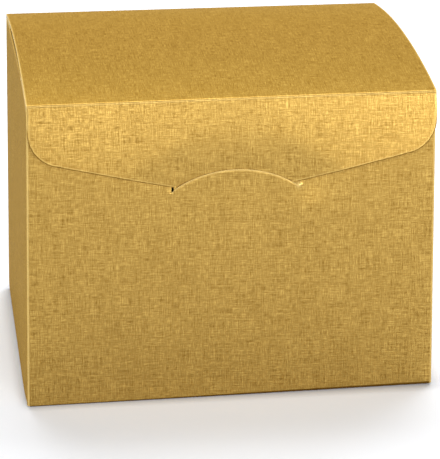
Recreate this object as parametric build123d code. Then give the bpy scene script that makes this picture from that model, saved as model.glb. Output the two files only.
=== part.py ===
from build123d import *
import math
import os

# Favor box: one die-cut sheet of embossed board, creased, folded and glued into a carton with a
# domed lid that closes by a flap tucked into an arched slit.
# Its panels, flaps and folds are the pieces. Millimetres, +Z up, the front faces -Y and +X is on
# the right seen from the front. The origin is on the floor, under the middle of the closed box.

# Carton
box_width = 120.0             # outside, left to right
box_depth = 100.0             # outside, front panel to back panel
box_height = 93.0             # floor to the top of the lid's front and back creases
lid_rise = 3.7                # crown of the lid above those creases
board = 0.4                   # thickness of the board
layer_gap = 0.1               # air between boards that lie on one another
lid_gap = 0.3                 # air between the lid and the tops of the walls

# Folds and creases
fold_inside_radius = 0.3      # inside of the folds that stay square
crease_bulge = 0.1            # how much thicker than the board the bead of a hinging crease is
crease_clearance = 0.05       # between a bead and the seat that it turns in

# Tuck flap and the arched slit that holds it
flap_side_depth = 16.9        # crease to the corner of side and slanting edge, before rounding
flap_corner_radius = 10.0
slit_span = 37.0              # between the ends of the slit
slit_drop = 27.4              # crease to the ends of the slit
slit_rise = 5.4               # top of the arch above the ends of the slit
slit_clearance = 0.2          # between the tongue and each edge of the slit
slit_end_clearance = 0.4      # slit beyond the flap's edges
tongue_tip_radius = 25.0

# Dust flaps under the lid
dust_crease_length = 54.0
dust_flap_width = 34.0        # crease to free edge
dust_free_edge = 26.0         # length of the free edge
dust_corner_radius = 6.0
dust_end_clearance = 0.4      # between the ends of a flap and the shoulders of its crease

# Base, locked by a tongue
lock_flap_depth = 62.0        # front panel to the edge where the tongue starts
lock_tongue_width = 44.0
lock_tongue_length = 12.0
lock_tongue_taper = 4.0       # narrowing of the tongue on each side, root to tip
lock_tongue_radius = 3.0
base_overlap = 16.0           # main flap over lock flap
base_corner = 12.0            # cut corners of the lock and main flaps
base_inset = 1.0              # between the flaps and the walls they lie between
notch_clearance = 0.4         # between the tongue and the notch in the main flap
tongue_side_gap = 5.0         # between the tongue and the side flaps
side_flap_taper = 9.0         # narrowing of the side flaps at each end

# Glued seam at the back left corner
glue_tab_width = 14.0
glue_tab_taper = 5.0          # narrowing of the tab at its top and bottom
glue_tab_inset = 3.0          # tab short of the panel's top and bottom
glue_thickness = 0.1
glue_margin = 2.0             # glue short of the tab's edges

# Faces of the walls, and the round of the folds
side_face = box_width / 2
flap_stand = layer_gap + board
front_face = (flap_stand - box_depth) / 2
back_face = front_face + box_depth
flap_face = front_face - flap_stand
tab_face = back_face - board - glue_thickness
fold_outside_radius = fold_inside_radius + board
fold_line = side_face - fold_outside_radius
front_fold_line = front_face + fold_outside_radius
back_fold_line = back_face - fold_outside_radius
tab_fold_line = tab_face - fold_outside_radius

# Heights of the layers of the base, from the floor up
layer_step = board + layer_gap
side_level = layer_step
main_level = 2 * layer_step
tongue_level = 3 * layer_step

# Crease beads of the lid, and the arc of the lid between them
crease_radius = board + crease_bulge
lid_axis_z = box_height - crease_radius
front_axis_y = flap_face + crease_radius
back_axis_y = back_face - crease_radius
wall_top = lid_axis_z - crease_radius - lid_gap
lid_half_chord = (back_axis_y - front_axis_y) / 2
lid_axis_radius = (lid_half_chord**2 + lid_rise**2) / (2 * lid_rise)
lid_outer_radius = lid_axis_radius + crease_radius
lid_centre_y = (back_axis_y + front_axis_y) / 2
lid_centre_z = lid_axis_z + lid_rise - lid_axis_radius

# The side walls' tops run under the lid, with a straight crease for the dust flap
side_top_radius = lid_outer_radius - board - lid_gap
dust_half_crease = dust_crease_length / 2
dust_half_root = dust_half_crease - dust_end_clearance
dust_axis_x = side_face - crease_radius
dust_axis_z = lid_centre_z + math.sqrt(side_top_radius**2 - dust_half_crease**2) - crease_radius

# The tuck flap steps back through the slit on a 45 degree web that follows the arch
arch_radius = (slit_span**2 / 4 + slit_rise**2) / (2 * slit_rise)
arch_centre_z = box_height - slit_drop + slit_rise - arch_radius
web_shift = board * (math.sqrt(2) - 1)
flap_step = 2 * layer_step
web_front_radius = arch_radius + slit_clearance + layer_gap + 2 * board
web_back_radius = web_front_radius + web_shift
slit_outer_radius = web_back_radius - layer_gap + slit_clearance
flap_corner_z = box_height - flap_side_depth
edge_slope = (slit_drop - flap_side_depth) / (side_face - slit_span / 2)
flap_tip_z = flap_corner_z - edge_slope * side_face

# Base flaps
lock_edge = front_face + lock_flap_depth
main_edge = lock_edge - base_overlap
base_half_width = side_face - board - base_inset


def plate_xz(outline, front_y, thickness):
    """Upright plate from an outline in X and Z, its front at front_y."""
    return extrude(Plane.XZ.offset(-front_y) * outline, thickness, dir=(0, 1, 0))


def plate_yz(outline, left_x, thickness):
    """Upright plate from an outline in Y and Z, its left side at left_x."""
    return extrude(Plane.YZ.offset(left_x) * outline, thickness, dir=(1, 0, 0))


def plate_xy(outline, bottom_z, thickness):
    """Level plate from an outline in X and Y, its underside at bottom_z."""
    return extrude(Plane.XY.offset(bottom_z) * outline, thickness, dir=(0, 0, 1))


def span(low_a, high_a, low_b, high_b):
    """Rectangle between two values along each direction of its plane."""
    return Pos(low_a, low_b) * Rectangle(high_a - low_a, high_b - low_b, align=Align.MIN)


def shape(*points):
    """Straight-sided outline, with its points where they are given."""
    return Polygon(*points, align=None)


def fixed_fold(start, end, first_side):
    """Square fold of the board round a line, open towards first_side and the next quarter turn."""
    along = Vector(*end) - Vector(*start)
    ring = Circle(fold_outside_radius) - Circle(fold_inside_radius)
    quarter = ring & span(0, fold_outside_radius, 0, fold_outside_radius)
    plane = Plane(origin=start, x_dir=first_side, z_dir=along)
    return extrude(plane * quarter, along.length, dir=along)


def rod(start, end, radius):
    """Round rod between two points."""
    along = Vector(*end) - Vector(*start)
    return extrude(Plane(origin=start, z_dir=along) * Circle(radius), along.length, dir=along)


def crease_bead(start, end):
    return rod(start, end, crease_radius)


def crease_seat(start, end):
    return rod(start, end, crease_radius + crease_clearance)


# Crease lines of the moving pieces
lid_back_crease = ((-side_face, back_axis_y, lid_axis_z), (side_face, back_axis_y, lid_axis_z))
lid_front_crease = ((-side_face, front_axis_y, lid_axis_z), (side_face, front_axis_y, lid_axis_z))


def left_dust_crease(half_length):
    """Crease line of the left dust flap, as long each way from the middle as half_length."""
    return (-dust_axis_x, -half_length, dust_axis_z), (-dust_axis_x, half_length, dust_axis_z)


def slit_half_angle():
    """Angle from the arch's top to the end of the slit, just past the flap's slanting edge."""
    edge_length = math.hypot(side_face, flap_corner_z - flap_tip_z)
    run_x = -side_face / edge_length
    run_z = (flap_tip_z - flap_corner_z) / edge_length
    corner_above = flap_corner_z - arch_centre_z
    towards = side_face * run_x + corner_above * run_z
    apart = side_face**2 + corner_above**2 - web_back_radius**2
    crossing_x = side_face + run_x * (-towards - math.sqrt(towards**2 - apart))
    return math.asin(crossing_x / web_back_radius) + slit_end_clearance / web_back_radius


def make_front_panel():
    wall = span(-fold_line, fold_line, fold_outside_radius, wall_top)
    reach = 2 * slit_outer_radius
    half_angle = slit_half_angle()
    end_x = reach * math.sin(half_angle)
    end_z = reach * math.cos(half_angle)
    sector = shape((0, 0), (end_x, end_z), (-end_x, end_z))
    slit = (Circle(slit_outer_radius) - Circle(arch_radius)) & sector
    return plate_xz(wall - Pos(0, arch_centre_z) * slit, front_face, board)


def make_back_panel():
    wall = span(-side_face, fold_line, main_level + fold_outside_radius, lid_axis_z)
    return plate_xz(wall, back_face - board, board) - crease_seat(*lid_back_crease)


def make_side_panel(back_line):
    """Left side panel, from the front fold to back_line."""
    wall = span(front_fold_line, back_line, side_level + fold_outside_radius, box_height + lid_rise)
    crown = Pos(lid_centre_y, lid_centre_z) * Circle(side_top_radius)
    crease_notch = span(-dust_half_crease, dust_half_crease, dust_axis_z, box_height + lid_rise)
    bead_room = Circle(crease_radius + lid_gap)
    front_room = Pos(front_axis_y, lid_axis_z) * bead_room
    back_room = Pos(back_axis_y, lid_axis_z) * bead_room
    outline = (wall & crown) - crease_notch - front_room - back_room
    return plate_yz(outline, -side_face, board) - crease_seat(*left_dust_crease(dust_half_crease))


def make_lid_panel():
    reach = 2 * lid_outer_radius / lid_axis_radius
    rise = reach * (lid_axis_z - lid_centre_z)
    ring = Circle(lid_outer_radius) - Circle(lid_outer_radius - board)
    sector = shape((0, 0), (-reach * lid_half_chord, rise), (reach * lid_half_chord, rise))
    arc = Pos(lid_centre_y, lid_centre_z) * (ring & sector)
    lid = plate_yz(arc, -side_face, box_width)
    return lid - crease_seat(*lid_back_crease) - crease_seat(*lid_front_crease)


def make_tuck_flap():
    """Flap outside the front panel, whose tongue steps through the slit to the inside."""
    outline = shape(
        (-side_face, lid_axis_z),
        (-side_face, flap_corner_z),
        (0, flap_tip_z),
        (side_face, flap_corner_z),
        (side_face, lid_axis_z),
    )
    outline = fillet(outline.vertices().group_by(Axis.Y)[1], flap_corner_radius)
    outline = fillet(outline.vertices().group_by(Axis.Y)[0], tongue_tip_radius)
    tongue_face = flap_face + flap_step
    beyond = box_width + box_height
    section = shape(
        (beyond, flap_face),
        (web_front_radius, flap_face),
        (web_front_radius - flap_step, tongue_face),
        (0, tongue_face),
        (0, tongue_face + board),
        (web_back_radius - flap_step, tongue_face + board),
        (web_back_radius, flap_face + board),
        (beyond, flap_face + board),
    )
    arch_axis = Axis((0, 0, arch_centre_z), (0, 1, 0))
    stepped = revolve(Plane.XY.offset(arch_centre_z) * section, arch_axis)
    block = plate_xz(outline, flap_face, flap_step + board)
    return (stepped & block) - crease_bead(*lid_front_crease)


def make_left_dust_flap():
    free_x = -side_face + dust_flap_width
    outline = shape(
        (-dust_axis_x, -dust_half_root),
        (free_x, -dust_free_edge / 2),
        (free_x, dust_free_edge / 2),
        (-dust_axis_x, dust_half_root),
    )
    outline = fillet(outline.vertices().group_by(Axis.X)[-1], dust_corner_radius)
    flap = plate_xy(outline, dust_axis_z + crease_radius - board, board)
    return flap - crease_bead(*left_dust_crease(dust_half_root))


def cut_corner_flap(root_y, edge_y):
    """Base flap from its fold at root_y to its free edge, with the free corners cut off."""
    cut = math.copysign(base_corner, edge_y - root_y)
    return shape(
        (-base_half_width, root_y),
        (base_half_width, root_y),
        (base_half_width, edge_y - cut),
        (base_half_width - base_corner, edge_y),
        (base_corner - base_half_width, edge_y),
        (-base_half_width, edge_y - cut),
    )


def make_base_lock_flap():
    """Outer base flap; its tongue rises through the notch and lies on the main flap."""
    tip_y = lock_edge + tongue_level + lock_tongue_length
    section = shape(
        (lock_edge - web_shift, 0),
        (lock_edge, 0),
        (lock_edge + tongue_level, tongue_level),
        (tip_y, tongue_level),
        (tip_y, tongue_level + board),
        (lock_edge + tongue_level - web_shift, tongue_level + board),
        (lock_edge - web_shift, board),
    )
    root_half = lock_tongue_width / 2
    tip_half = root_half - lock_tongue_taper
    outline = shape(
        (-root_half, lock_edge - web_shift),
        (root_half, lock_edge - web_shift),
        (tip_half, tip_y),
        (-tip_half, tip_y),
    )
    outline = fillet(outline.vertices().group_by(Axis.Y)[-1], lock_tongue_radius)
    tongue = plate_yz(section, -root_half, lock_tongue_width)
    tongue = tongue & plate_xy(outline, 0, tongue_level + board)
    return plate_xy(cut_corner_flap(front_fold_line, lock_edge), 0, board) + tongue


def make_base_main_flap():
    """Inner base flap, with the notch that the tongue comes up through."""
    notch_half = lock_tongue_width / 2 + notch_clearance
    notch_back = lock_edge + main_level + board + notch_clearance
    notch = span(-notch_half, notch_half, main_edge, notch_back)
    return plate_xy(cut_corner_flap(back_fold_line, main_edge) - notch, main_level, board)


def make_base_side_flap(back_line):
    """Left flap of the base's middle layer, tapered so that it folds in past the others."""
    front_end = front_face + board + base_inset
    back_end = back_line - base_inset
    inner_x = -lock_tongue_width / 2 - tongue_side_gap
    outline = shape(
        (-fold_line, front_end),
        (inner_x, front_end + side_flap_taper),
        (inner_x, back_end - side_flap_taper),
        (-fold_line, back_end),
    )
    return plate_xy(outline, side_level, board)


def seam_outline(margin):
    """Outline of the glue tab in X and Z, drawn in by a margin."""
    low_z = main_level + fold_outside_radius + glue_tab_inset + margin
    high_z = wall_top - glue_tab_inset - margin
    inner_x = -fold_line + glue_tab_width - margin
    return shape(
        (-fold_line + margin, low_z),
        (inner_x, low_z + glue_tab_taper),
        (inner_x, high_z - glue_tab_taper),
        (-fold_line + margin, high_z),
    )


def upright_fold(x, y, first_side):
    return fixed_fold((x, y, side_level + fold_outside_radius), (x, y, wall_top), first_side)


def base_fold_across(y, level, first_side):
    height = level + fold_outside_radius
    return fixed_fold((-fold_line, y, height), (fold_line, y, height), first_side)


def base_fold_along(x, back_line, first_side):
    height = side_level + fold_outside_radius
    return fixed_fold((x, front_fold_line, height), (x, back_line, height), first_side)


left_dust_flap = make_left_dust_flap()
left_dust_bead = crease_bead(*left_dust_crease(dust_half_root))

nodes = {
    "front_panel": make_front_panel(),
    "back_panel": make_back_panel(),
    "left_side_panel": make_side_panel(tab_fold_line),
    "right_side_panel": mirror(make_side_panel(back_fold_line), about=Plane.YZ),
    "glue_tab": plate_xz(seam_outline(0), tab_face - board, board),
    "seam_glue": plate_xz(seam_outline(glue_margin), tab_face, glue_thickness),
    "front_left_fold": upright_fold(-fold_line, front_fold_line, (-1, 0, 0)),
    "front_right_fold": upright_fold(fold_line, front_fold_line, (0, -1, 0)),
    "back_right_fold": upright_fold(fold_line, back_fold_line, (1, 0, 0)),
    "back_left_fold": upright_fold(-fold_line, tab_fold_line, (0, 1, 0)),
    "base_lock_flap": make_base_lock_flap(),
    "base_left_flap": make_base_side_flap(tab_fold_line),
    "base_right_flap": mirror(make_base_side_flap(back_fold_line), about=Plane.YZ),
    "base_main_flap": make_base_main_flap(),
    "base_front_fold": base_fold_across(front_fold_line, 0, (0, -1, 0)),
    "base_back_fold": base_fold_across(back_fold_line, main_level, (0, 0, -1)),
    "base_left_fold": base_fold_along(-fold_line, tab_fold_line, (0, 0, -1)),
    "base_right_fold": base_fold_along(fold_line, back_fold_line, (1, 0, 0)),
    "lid_panel": make_lid_panel(),
    "lid_back_crease": crease_bead(*lid_back_crease),
    "tuck_flap": make_tuck_flap(),
    "lid_front_crease": crease_bead(*lid_front_crease),
    "left_dust_flap": left_dust_flap,
    "left_dust_crease": left_dust_bead,
    "right_dust_flap": mirror(left_dust_flap, about=Plane.YZ),
    "right_dust_crease": mirror(left_dust_bead, about=Plane.YZ),
}

os.makedirs("parts", exist_ok=True)
for name, solid in nodes.items():
    export_step(solid, f"parts/{name}.step")
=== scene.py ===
import math
import bmesh
import bpy
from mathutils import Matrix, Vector


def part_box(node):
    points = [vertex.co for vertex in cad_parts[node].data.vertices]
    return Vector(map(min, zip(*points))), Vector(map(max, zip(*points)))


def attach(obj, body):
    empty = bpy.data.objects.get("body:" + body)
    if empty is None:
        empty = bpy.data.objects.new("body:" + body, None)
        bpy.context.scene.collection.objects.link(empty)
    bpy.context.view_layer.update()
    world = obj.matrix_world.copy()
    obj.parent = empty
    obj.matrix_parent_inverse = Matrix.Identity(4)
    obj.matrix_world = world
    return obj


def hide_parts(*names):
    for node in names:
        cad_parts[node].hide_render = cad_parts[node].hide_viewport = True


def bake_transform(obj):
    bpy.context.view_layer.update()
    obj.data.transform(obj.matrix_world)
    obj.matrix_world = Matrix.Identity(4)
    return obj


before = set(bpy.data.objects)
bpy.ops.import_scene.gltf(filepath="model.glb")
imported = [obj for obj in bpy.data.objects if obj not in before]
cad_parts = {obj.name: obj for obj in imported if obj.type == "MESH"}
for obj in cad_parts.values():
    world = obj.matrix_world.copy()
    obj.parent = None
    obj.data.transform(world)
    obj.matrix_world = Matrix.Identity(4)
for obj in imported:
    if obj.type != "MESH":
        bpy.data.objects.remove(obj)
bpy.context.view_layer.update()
print("frame loaded:", len(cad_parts), "nodes")

mm = 0.001


def lowOf(node, axis):
    return getattr(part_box(node)[0], axis)


def highOf(node, axis):
    return getattr(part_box(node)[1], axis)


# faces, folds and hinge lines of the carton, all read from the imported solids
sideFace = highOf("right_side_panel", "x")
frontFace = lowOf("front_panel", "y")
backFace = highOf("back_panel", "y")
flapFace = lowOf("tuck_flap", "y")
tabFace = highOf("glue_tab", "y")
board = highOf("front_panel", "y") - frontFace
foldRadius = highOf("front_right_fold", "x") - lowOf("front_right_fold", "x")
foldLine = sideFace - foldRadius
wallTop = highOf("front_panel", "z")
wallFoot = lowOf("front_left_fold", "z")
creaseTop = highOf("lid_front_crease", "z")
beadRadius = (creaseTop - lowOf("lid_front_crease", "z")) / 2
hingeZ = creaseTop - beadRadius
frontHingeY = flapFace + beadRadius
backHingeY = backFace - beadRadius

# the lid's dome is an arc through both hinge lines
lidHalfChord = (backHingeY - frontHingeY) / 2
lidRise = highOf("lid_panel", "z") - creaseTop
lidAxisRadius = (lidHalfChord ** 2 + lidRise ** 2) / (2 * lidRise)
lidRadius = lidAxisRadius + beadRadius
lidMiddleY = (backHingeY + frontHingeY) / 2
lidMiddleZ = hingeZ + lidRise - lidAxisRadius
lidTilt = math.asin(lidHalfChord / lidAxisRadius)

# places on the flat blank, for the emboss: the front panel is centred on 0, the back panel and the lid
# on backFlat
backFlat = 2 * sideFace + backFace - frontFace
lidFlat = hingeZ

sheet = {
    "seam": 0.6 * mm,          # flat stretch past a fold, where the next piece begins
    "wearWidth": 0.35 * mm,    # rubbed band along a cut edge
    "foldSteps": 8,
    # round folds are lighter: worn foil with painted highlight
    "foldWearAndHighlight": 0.6,
    "splay": 0.014,            # the foot of the box stands this share wider than its top
    "footSkew": (-1.4 * mm, -1.9 * mm),     # of the front left corner at the foot, across and forwards
    "topSkew": 0.55 * mm,      # of the back left corner at the top, inwards
    "topLift": 0.6 * mm,       # and upwards
    "leanIn": 0.5 * mm,        # of the front left fold at its foot, so that the side panel bulges past it
    "leanReach": 14 * mm,
    "footRoll": 0.2 * mm,      # the front foot is drawn in towards its right end
    "footRollHeight": 1.3 * mm,
    "footLift": 0.05 * mm,     # and does not quite touch the table there
    "footLoose": (-0.3, 1.0),  # where both begin and are full, in half widths from the middle
    "footReach": 12 * mm,      # of both, towards the back
    "mergeDistance": 1e-6,
    "sharpAngle": 35,          # degrees
}
seam = sheet["seam"]
tiny = 1e-7                    # less than any step of the meshes


def smooth(low, high, value):
    share = min(max((value - low) / (high - low), 0.0), 1.0)
    return share * share * (3 - 2 * share)


def spread(low, high, count):
    return [low + (high - low) * k / count for k in range(count + 1)]


def edgeWear(distance):
    return max(0.0, 1 - distance / sheet["wearWidth"])


# worn foil with painted highlight, most in the middle of a fold's round
def foldWearAndHighlight(share):
    return sheet["foldWearAndHighlight"] * math.sin(math.pi * min(max(share, 0.0), 1.0))


def splayed(point):
    x, y, z = point
    foot = max(0.0, 1 - z / creaseTop)
    left = (1 - x / sideFace) / 2
    front = (1 - y / backFace) / 2
    acrossSkew, forwardSkew = sheet["footSkew"]
    low = max(0.0, 1 - z / sheet["footRollHeight"])
    near = max(0.0, 1 - (y - frontFace) / sheet["footReach"])
    loose = smooth(*sheet["footLoose"], x / sideFace) * near * near
    roll = sheet["footRoll"] * loose * low * low
    lean = sheet["leanIn"] * left * foot * max(0.0, 1 - (y - frontFace) / sheet["leanReach"]) ** 2
    footCorner = left * front * foot
    topCorner = left * (1 - front) * (1 - foot)
    x += x * sheet["splay"] * foot + footCorner * acrossSkew + topCorner * sheet["topSkew"] + lean
    y += footCorner * forwardSkew + roll
    z += sheet["footLift"] * loose * max(0.0, 1 - z / sheet["footReach"]) + topCorner * sheet["topLift"]
    return (x, y, z)


def srgb(red, green, blue):
    channels = (red / 255, green / 255, blue / 255)
    return (*(c / 12.92 if c <= 0.04045 else ((c + 0.055) / 1.055) ** 2.4 for c in channels), 1.0)


# node helpers, for shader and geometry trees alike

def addNode(tree, kind, values=None, **settings):
    made = tree.nodes.new(kind)
    for name, value in settings.items():
        setattr(made, name, value)
    for socket, value in (values or {}).items():
        if isinstance(value, bpy.types.NodeSocket):
            tree.links.new(value, made.inputs[socket])
        else:
            made.inputs[socket].default_value = value
    return made


def calc(tree, operation, first, second=0.0, third=0.0):
    return addNode(tree, "ShaderNodeMath", {0: first, 1: second, 2: third}, operation=operation).outputs[0]


def remap(tree, value, fromLow, fromHigh, toLow, toHigh):
    sockets = {0: value, 1: fromLow, 2: fromHigh, 3: toLow, 4: toHigh}
    return addNode(tree, "ShaderNodeMapRange", sockets, clamp=True).outputs[0]


def mixColour(tree, factor, first, second):
    return addNode(tree, "ShaderNodeMix", {0: factor, 6: first, 7: second}, data_type="RGBA").outputs[2]


def vectorOf(tree, x, y):
    return addNode(tree, "ShaderNodeCombineXYZ", {0: x, 1: y}).outputs[0]


def noiseOf(tree, vector, detail):
    sockets = {"Vector": vector, "Scale": 1.0, "Detail": detail}
    return addNode(tree, "ShaderNodeTexNoise", sockets, noise_dimensions="2D").outputs[0]


# emboss that all faces of the board share: short threads both ways, and slow clouds in the coating

linenThreads = {
    "balanceAt": (0.35, 0.65),     # noise over which weft gives way to warp
    "balance": (0.3, 0.7),
    "slant": 1.2,                  # of the long threads that run across
    "pulledAt": (0.38, 0.24),      # noise at which a long thread sinks
    "raisedAt": (0.66, 0.78),      # and at which it stands up
    "longHeight": 0.10,
    "heightAt": (0.28, 0.72),
    "valleyAt": (0.46, 0.32),
    "cloudAt": (0.3, 0.7),
    "cloudStretch": 0.3,           # the clouds are drawn out upwards
    "warpOffset": 50.0,            # so that warp and weft differ
    "longOffset": 90.0,
}


def makeLinenEmboss(values):
    group = bpy.data.node_groups.new("linenEmboss", "ShaderNodeTree")
    group.interface.new_socket("Flat", in_out="INPUT", socket_type="NodeSocketVector")
    for name in ("Pitch", "Thread Length", "Long Thread", "Cloud Size"):
        group.interface.new_socket(name, in_out="INPUT", socket_type="NodeSocketFloat")
    for name in ("Height", "Valley", "Cloud"):
        group.interface.new_socket(name, in_out="OUTPUT", socket_type="NodeSocketFloat")
    given = group.nodes.new("NodeGroupInput").outputs
    across, up, _ = addNode(group, "ShaderNodeSeparateXYZ", {0: given["Flat"]}).outputs

    def scaled(size):
        return [calc(group, "DIVIDE", place, given[size]) for place in (across, up)]

    def noise(x, y, detail):
        return noiseOf(group, vectorOf(group, x, y), detail)

    fineX, fineY = scaled("Pitch")
    slowX, slowY = scaled("Thread Length")
    longX, longY = scaled("Long Thread")
    cloudX, cloudY = scaled("Cloud Size")
    weft = noise(slowX, fineY, 1.0)
    warp = noise(fineX, calc(group, "ADD", slowY, values["warpOffset"]), 1.0)
    balance = remap(group, noise(slowX, slowY, 1.0), *values["balanceAt"], *values["balance"])
    threads = addNode(group, "ShaderNodeMix", {0: balance, 2: weft, 3: warp}).outputs[0]
    longWeft = noise(longX, calc(group, "MULTIPLY_ADD", longX, values["slant"], fineY), 0.0)
    longWarp = noise(fineX, calc(group, "ADD", longY, values["longOffset"]), 0.0)
    for longThread in (longWeft, longWarp):
        pulled = remap(group, longThread, *values["pulledAt"], 0.0, values["longHeight"])
        threads = calc(group, "SUBTRACT", threads, pulled)
        raised = remap(group, longThread, *values["raisedAt"], 0.0, values["longHeight"])
        threads = calc(group, "ADD", threads, raised)
    height = remap(group, threads, *values["heightAt"], 0.0, 1.0)
    valley = remap(group, threads, *values["valleyAt"], 0.0, 1.0)
    streaks = calc(group, "MULTIPLY", cloudY, values["cloudStretch"])
    cloud = remap(group, noise(cloudX, streaks, 2.0), *values["cloudAt"], 0.0, 1.0)
    addNode(group, "NodeGroupOutput", {"Height": height, "Valley": valley, "Cloud": cloud})
    return group


linenEmboss = makeLinenEmboss(linenThreads)


def startMaterial(name):
    material = bpy.data.materials.new(name)
    material.use_nodes = True
    tree = material.node_tree
    return material, tree, tree.nodes["Principled BSDF"]


def placeEmboss(tree, values):
    flat = addNode(tree, "ShaderNodeUVMap", uv_map="flat").outputs[0]
    linen = addNode(tree, "ShaderNodeGroup", node_tree=linenEmboss)
    tree.links.new(flat, linen.inputs["Flat"])
    linen.inputs["Pitch"].default_value = values["pitch"]
    linen.inputs["Thread Length"].default_value = values["threadLength"]
    linen.inputs["Long Thread"].default_value = values["longThread"]
    linen.inputs["Cloud Size"].default_value = values["cloudSize"]
    return linen.outputs


def setBump(tree, shader, height, depth):
    bump = addNode(tree, "ShaderNodeBump", {"Height": height, "Distance": depth, "Strength": 1.0})
    tree.links.new(bump.outputs[0], shader.inputs["Normal"])


goldFinish = {
    "pitch": 0.24 * mm,
    "threadLength": 2.2 * mm,
    "longThread": 9 * mm,
    "cloudSize": 5 * mm,
    "depth": 0.006 * mm,
    "ridgeGold": srgb(206, 169, 90),
    "valleyGold": srgb(142, 108, 46),
    "cloudShade": 0.12,
    "wearAndHighlightGold": srgb(240, 206, 130),
    # painted shade, for the round under the flap's lower cut edge and the underside of the front foot
    "paintedShadeGold": srgb(112, 80, 28),
    "edgeGold": srgb(230, 188, 80),       # reflection at a glancing angle
    "metallic": 0.28,
    "sideMetallic": 0.1,                  # of the side panels, whose linen hides most of the glancing shine
    "roughness": (0.22, 0.3),             # on the threads and between them
}


def makeGoldFace(name, metallic, values):
    material, tree, shader = startMaterial(name)
    linen = placeEmboss(tree, values)
    wear = addNode(tree, "ShaderNodeAttribute", attribute_name="wear").outputs["Fac"]
    colour = mixColour(tree, linen["Height"], values["valleyGold"], values["ridgeGold"])
    shade = calc(tree, "MULTIPLY", linen["Cloud"], values["cloudShade"])
    colour = mixColour(tree, shade, colour, values["valleyGold"])
    # wear lightens the gold: rubbed edges, and folds, crests, lip and knuckle that are worn with painted
    # highlight
    colour = mixColour(tree, wear, colour, values["wearAndHighlightGold"])
    paintedShade = calc(tree, "MULTIPLY", wear, -1.0)        # wear below zero is painted shade: on the round of the flap's lower cut edge, which faces down, and under the front foot's fold
    colour = mixColour(tree, paintedShade, colour, values["paintedShadeGold"])
    tree.links.new(colour, shader.inputs["Base Color"])
    smoothGold, roughGold = values["roughness"]
    tree.links.new(remap(tree, linen["Height"], 0.0, 1.0, roughGold, smoothGold), shader.inputs["Roughness"])
    shader.inputs["Metallic"].default_value = metallic
    shader.inputs["Specular Tint"].default_value = values["edgeGold"]
    shader.inputs["Specular IOR Level"].default_value = 0.0     # no white film over the gold
    setBump(tree, shader, linen["Height"], values["depth"])
    return material


paperFinish = {
    "pitch": 0.30 * mm,
    "threadLength": 2.5 * mm,
    "longThread": 9 * mm,
    "cloudSize": 9 * mm,
    "depth": 0.03 * mm,
    "paper": srgb(225, 220, 208),
    "shadePaper": srgb(215, 208, 194),
    "valleyShade": 0.5,
    "roughness": 0.85,
}


def makePaperInside(values):
    material, tree, shader = startMaterial("paperInside")
    linen = placeEmboss(tree, values)
    colour = mixColour(tree, linen["Cloud"], values["paper"], values["shadePaper"])
    valley = calc(tree, "MULTIPLY", linen["Valley"], values["valleyShade"])
    colour = mixColour(tree, valley, colour, values["shadePaper"])
    tree.links.new(colour, shader.inputs["Base Color"])
    shader.inputs["Roughness"].default_value = values["roughness"]
    setBump(tree, shader, calc(tree, "SUBTRACT", 1.0, linen["Height"]), values["depth"])
    return material


edgeFinish = {
    "pitch": 0.25 * mm,
    "threadLength": 1.2 * mm,
    "longThread": 4 * mm,
    "cloudSize": 3 * mm,
    "depth": 0.02 * mm,
    "core": srgb(247, 232, 190),
    "stain": srgb(226, 190, 112),
    "stainShare": 0.6,
    "roughness": 0.75,
}


def makeCutEdge(values):
    material, tree, shader = startMaterial("cutEdge")
    linen = placeEmboss(tree, values)
    stain = calc(tree, "MULTIPLY", linen["Cloud"], values["stainShare"])
    tree.links.new(mixColour(tree, stain, values["core"], values["stain"]), shader.inputs["Base Color"])
    shader.inputs["Roughness"].default_value = values["roughness"]
    setBump(tree, shader, linen["Height"], values["depth"])
    return material


glueFinish = {
    "size": 2.5 * mm,
    "depth": 0.03 * mm,
    "glue": srgb(224, 214, 186),
    "dull": srgb(206, 190, 150),
    "dullAt": (0.3, 0.7),          # noise over which the glue turns dull
    "roughness": (0.3, 0.55),
}


def makeDriedGlue(values):
    material, tree, shader = startMaterial("driedGlue")
    place = addNode(tree, "ShaderNodeTexCoord").outputs["Object"]
    sockets = {"Vector": place, "Scale": 1 / values["size"], "Detail": 3.0}
    blobs = addNode(tree, "ShaderNodeTexNoise", sockets).outputs[0]
    tree.links.new(mixColour(tree, blobs, values["glue"], values["dull"]), shader.inputs["Base Color"])
    roughness = remap(tree, blobs, *values["dullAt"], *values["roughness"])
    tree.links.new(roughness, shader.inputs["Roughness"])
    setBump(tree, shader, blobs, values["depth"])
    return material


goldFace = makeGoldFace("goldFace", goldFinish["metallic"], goldFinish)
sideGold = makeGoldFace("sideGold", goldFinish["sideMetallic"], goldFinish)
paperInside = makePaperInside(paperFinish)
cutEdge = makeCutEdge(edgeFinish)
driedGlue = makeDriedGlue(glueFinish)
boardFinishes = (goldFace, paperInside, cutEdge)
sideFinishes = (sideGold, paperInside, cutEdge)
print("materials made")


# a piece of board: rows of (point, flat place, wear) on its gold side, made as thick as the board; the wear
# value also carries painted highlight, and below zero painted shade

def finishMesh(piece):
    evaluated = piece.evaluated_get(bpy.context.evaluated_depsgraph_get())
    mesh = bpy.data.meshes.new_from_object(evaluated)
    mesh.name = piece.name
    piece.modifiers.clear()
    piece.data = mesh
    mesh.shade_smooth()
    mesh.set_sharp_from_angle(angle=math.radians(sheet["sharpAngle"]))
    return piece


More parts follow.
